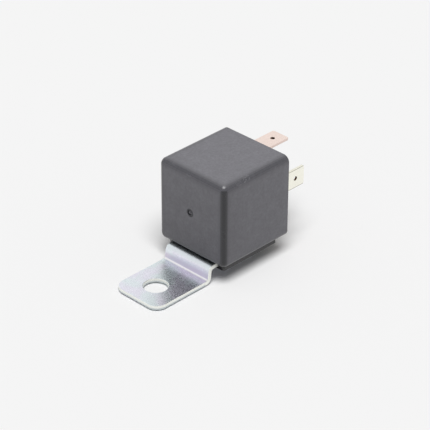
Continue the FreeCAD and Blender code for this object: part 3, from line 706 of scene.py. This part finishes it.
def brokenEdges(name, facts):
    bpy.ops.object.select_all(action="DESELECT")
    bpy.ops.object.add(type="MESH")
    piece = bpy.context.object
    piece.name = name
    piece.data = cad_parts[facts["node"]].data.copy()
    piece.data.name = name
    piece.data.materials.clear()
    piece.data.materials.append(finishes[facts["finish"]])
    bpy.ops.object.mode_set(mode="EDIT")
    bpy.ops.mesh.select_all(action="SELECT")
    bpy.ops.mesh.customdata_custom_splitnormals_clear()
    bpy.ops.mesh.remove_doubles(threshold=edgeWork["mergeWithin"])
    bpy.ops.mesh.dissolve_limited(angle_limit=edgeWork["flatUnder"])
    bpy.ops.object.mode_set(mode="OBJECT")
    bpy.ops.object.modifier_add(type="BEVEL")
    bevel = piece.modifiers[-1]
    bevel.width = facts["edge"]
    bevel.segments = facts.get("steps", edgeWork["steps"])
    bevel.limit_method = "ANGLE"
    bevel.angle_limit = edgeWork["bevelOver"]
    bpy.ops.object.modifier_apply(modifier=bevel.name)
    bpy.ops.object.shade_smooth_by_angle(angle=edgeWork["smoothUnder"])
    bpy.ops.object.modifier_add(type="WEIGHTED_NORMAL")
    weighted = piece.modifiers[-1]
    weighted.keep_sharp = True
    bpy.ops.object.modifier_apply(modifier=weighted.name)
    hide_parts(facts["node"])
    return piece


bracketStrip = {"node": "bracket", "finish": "zincPlate", "slot": "zinc_plated_steel",
                "edge": 0.00014, "steps": 3}
basePlate = {"node": "base", "finish": "basePlastic", "slot": "base_plastic",
             "edge": 0.00012}
blade87 = {"node": "terminal_87", "finish": "copperFlat", "slot": "copper_blade",
           "edge": 0.00011}
blade87a = {"node": "terminal_87a", "finish": "copperFlat", "slot": "copper_blade",
            "edge": 0.00011}
blade30 = {"node": "terminal_30", "finish": "copperUpright", "slot": "copper_blade",
           "edge": 0.00011}
blade85 = {"node": "terminal_85", "finish": "brassUpright", "slot": "brass_blade",
           "edge": 0.00011}
blade86 = {"node": "terminal_86", "finish": "brassUpright", "slot": "brass_blade",
           "edge": 0.00011}
for name, facts in (("bracketStrip", bracketStrip), ("basePlate", basePlate),
                    ("blade87", blade87), ("blade87a", blade87a), ("blade30", blade30),
                    ("blade85", blade85), ("blade86", blade86)):
    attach(brokenEdges(name, facts), "housing")
print("bracket, base and blades made")

yokeFrame = {"node": "yoke", "finish": "ironPlate", "slot": "magnet_steel",
             "edge": 0.00014}
coreTurned = {"node": "core", "finish": "ironPlate", "slot": "magnet_steel",
              "edge": 0.00015}
bobbinSpool = {"node": "bobbin", "finish": "bobbinPlastic", "slot": "bobbin_plastic",
               "edge": 0.00018, "steps": 3}
tapeWrap = {"node": "winding_tape", "finish": "coilTape", "slot": "coil_tape",
            "edge": 0.00004}
workContact = {"node": "contact_87", "finish": "contactSilver", "slot": "contact_silver",
               "edge": 0.00006}
restContact = {"node": "contact_87a", "finish": "contactSilver", "slot": "contact_silver",
               "edge": 0.00006}
yokeRivets = {"node": "yoke_rivets", "finish": "rivetSteel", "slot": "rivet_steel",
              "edge": 0.00008}
for name, facts in (("yokeFrame", yokeFrame), ("coreTurned", coreTurned),
                    ("bobbinSpool", bobbinSpool), ("tapeWrap", tapeWrap),
                    ("workContact", workContact), ("restContact", restContact),
                    ("yokeRivets", yokeRivets)):
    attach(brokenEdges(name, facts), "housing")
print("magnet and fixed contacts made")

armaturePlate = {"node": "armature", "finish": "ironPlate", "slot": "magnet_steel",
                 "edge": 0.00012}
armatureRivets = {"node": "armature_rivets", "finish": "rivetSteel", "slot": "rivet_steel",
                  "edge": 0.00008}
movingContact = {"node": "moving_contact", "finish": "contactSilver",
                 "slot": "contact_silver", "edge": 0.00006}
for name, facts in (("armaturePlate", armaturePlate), ("armatureRivets", armatureRivets),
                    ("movingContact", movingContact)):
    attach(brokenEdges(name, facts), "armature")

# The leaf's foot sits on the yoke and its arm under the armature; the copy stays unattached,
# with its place baked into its mesh
springLeaf = {"node": "contact_spring", "finish": "springBronze", "slot": "spring_bronze",
              "edge": 0.00004, "still": (0.0212, 0.0, 0.0081),
              "moving": (0.0184, 0.0, 0.0098)}
leaf = brokenEdges("springLeaf", springLeaf)
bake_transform(leaf)
print("armature and its spring made")


# Winding: one layer of round turns over a solid bed, both swept about the coil's axis

windingTurns = {
    "wire": 0.0004,
    "sides": 8,
    "steps": 48,
    "bore": 0.00443,                       # clears the bobbin's tube
    "bedDepth": 0.6,                       # bed's surface under the turns' tops, in wires
    "bedSmooth": math.radians(40.0),
    "wireSmooth": math.radians(50.0),
}


def sweepAboutCoil(profile, rise, rounds):
    bpy.ops.object.modifier_add(type="SCREW")
    sweep = profile.modifiers[-1]
    sweep.axis = "X"
    sweep.steps = sweep.render_steps = windingTurns["steps"]
    sweep.screw_offset = rise
    sweep.iterations = rounds
    sweep.use_merge_vertices = rounds == 1
    bpy.ops.object.modifier_apply(modifier=sweep.name)


def closeAndSmooth(angle):
    bpy.ops.object.mode_set(mode="EDIT")
    bpy.ops.mesh.select_all(action="SELECT")
    bpy.ops.mesh.fill_holes(sides=windingTurns["sides"])
    bpy.ops.mesh.select_all(action="SELECT")
    bpy.ops.mesh.normals_make_consistent(inside=False)
    bpy.ops.object.mode_set(mode="OBJECT")
    bpy.ops.object.shade_smooth_by_angle(angle=angle)


def makeWinding():
    low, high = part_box("winding")
    wire, bore = windingTurns["wire"], windingTurns["bore"]
    axis, reach = (low.z + high.z) / 2, (high.z - low.z) / 2
    bedTop = reach - wire * windingTurns["bedDepth"]
    bpy.ops.object.select_all(action="DESELECT")
    bpy.ops.mesh.primitive_plane_add(size=1.0, location=((low.x + high.x) / 2, 0.0, axis),
                                     rotation=(math.pi / 2, 0.0, 0.0))
    bed = bpy.context.object
    bpy.ops.transform.resize(value=(high.x - low.x, 1.0, bedTop - bore))
    bpy.ops.object.transform_apply(location=False, rotation=True, scale=True)
    bpy.ops.object.mode_set(mode="EDIT")
    bpy.ops.mesh.select_all(action="SELECT")
    bpy.ops.transform.translate(value=(0.0, 0.0, (bedTop + bore) / 2))
    bpy.ops.mesh.delete(type="ONLY_FACE")
    bpy.ops.object.mode_set(mode="OBJECT")
    sweepAboutCoil(bed, 0.0, 1)
    closeAndSmooth(windingTurns["bedSmooth"])
    bpy.ops.object.select_all(action="DESELECT")
    bpy.ops.mesh.primitive_circle_add(vertices=windingTurns["sides"], radius=wire / 2,
                                      location=(low.x + wire / 2, 0.0, axis),
                                      rotation=(math.pi / 2, 0.0, 0.0))
    turns = bpy.context.object
    turns.name = "windingTurns"
    bpy.ops.object.transform_apply(location=False, rotation=True, scale=False)
    bpy.ops.object.mode_set(mode="EDIT")
    bpy.ops.mesh.select_all(action="SELECT")
    bpy.ops.transform.translate(value=(0.0, 0.0, reach - wire / 2))
    bpy.ops.object.mode_set(mode="OBJECT")
    sweepAboutCoil(turns, wire, int((high.x - low.x) / wire) - 1)
    closeAndSmooth(windingTurns["wireSmooth"])
    bed.select_set(True)
    bpy.ops.object.join()
    bpy.ops.object.transform_apply(location=True, rotation=True, scale=True)
    turns.data.materials.append(finishes["coilWire"])
    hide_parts("winding")
    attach(turns, "housing")


makeWinding()
print("winding made")


# Studio: pale floor, even light from all round and a wide softbox above the camera's side

studio = {
    "floorHeight": -0.0005,
    "floorSize": 8.0,
    "paper": (0.913, 0.913, 0.913),
    "ambient": 0.25,
}
softbox = {"share": 0.75, "tilt": 23.0, "turn": -134.0, "angle": 30.0, "mirrored": False}
# The softbox's mirror image, seen only on the cover's rounds and corners
gleam = {"share": 0.76, "tilt": 4.0, "turn": 46.0, "angle": 40.0, "mirrored": True}


def makeFloor():
    bpy.ops.object.select_all(action="DESELECT")
    bpy.ops.mesh.primitive_plane_add(size=studio["floorSize"],
                                     location=(0.0, 0.0, studio["floorHeight"]))
    floor = bpy.context.object
    floor.name = "floor"
    bpy.ops.object.transform_apply(location=True, rotation=True, scale=True)
    material, tree, shader = newMaterial("palePaper")
    tree.nodes.remove(shader)
    paper = addNode(tree, "ShaderNodeBsdfDiffuse", {"Color": (*studio["paper"], 1.0)})
    tree.links.new(paper.outputs["BSDF"], tree.nodes["Material Output"].inputs["Surface"])
    floor.data.materials.append(material)


def makeWorld():
    world = bpy.data.worlds.new("studioLight")
    bpy.context.scene.world = world
    world.use_nodes = True
    tree = world.node_tree
    back = tree.nodes["Background"]
    back.inputs["Color"].default_value = (1.0, 1.0, 1.0, 1.0)
    path = addNode(tree, "ShaderNodeLightPath").outputs
    seen = maths(tree, "MAXIMUM", path["Is Camera Ray"], path["Is Glossy Ray"])
    seen = maths(tree, "MAXIMUM", seen, path["Is Transmission Ray"])
    # Light that metal throws on the floor stays at the ambient level
    seen = times(tree, seen, maths(tree, "LESS_THAN", path["Diffuse Depth"], 0.5))
    level = spread(tree, seen, 0.0, 1.0, studio["ambient"], studio["paper"][0])
    tree.links.new(level, back.inputs["Strength"])


def makeLamp(name, facts):
    # share: part of the floor's light; tilt and turn in degrees, away from straight above
    tilt, turn = math.radians(facts["tilt"]), math.radians(facts["turn"])
    bpy.ops.object.select_all(action="DESELECT")
    bpy.ops.object.light_add(type="SUN", location=(0.0, 0.0, 0.5))
    lamp = bpy.context.object
    lamp.name = name
    lamp.rotation_euler = (tilt, 0.0, turn + math.pi / 2)
    lamp.data.angle = math.radians(facts["angle"])
    lamp.data.energy = facts["share"] * math.pi / math.cos(tilt)
    lamp.visible_glossy = facts["mirrored"]
    lamp.visible_diffuse = not facts["mirrored"]
    return lamp


makeFloor()
makeWorld()
makeLamp("softbox", softbox)
gleamOnly = bpy.data.collections.new("gleamOnly")
gleamOnly.objects.link(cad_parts["cover"])
makeLamp("gleam", gleam).light_linking.receiver_collection = gleamOnly

photoView = {
    "eye": (-0.34813, -0.36320, 0.33129),
    "aim": (0.024527, -0.000133, 0.014997),
    "lens": 171.95,
    "roll": math.radians(0.294),
    "sensor": 36.0,
    "clip": (0.01, 20.0),
}


def makeCamera():
    eye = Vector(photoView["eye"])
    bpy.ops.object.select_all(action="DESELECT")
    bpy.ops.object.camera_add(location=eye)
    camera = bpy.context.object
    camera.name = "photoCamera"
    look = (Vector(photoView["aim"]) - eye).to_track_quat("-Z", "Y").to_matrix()
    turn = look @ Matrix.Rotation(photoView["roll"], 3, "Z")
    camera.rotation_euler = turn.to_euler()
    camera.data.lens = photoView["lens"]
    camera.data.sensor_width = photoView["sensor"]
    camera.data.clip_start, camera.data.clip_end = photoView["clip"]
    bpy.context.scene.camera = camera


makeCamera()
bpy.context.scene.view_settings.view_transform = "Standard"
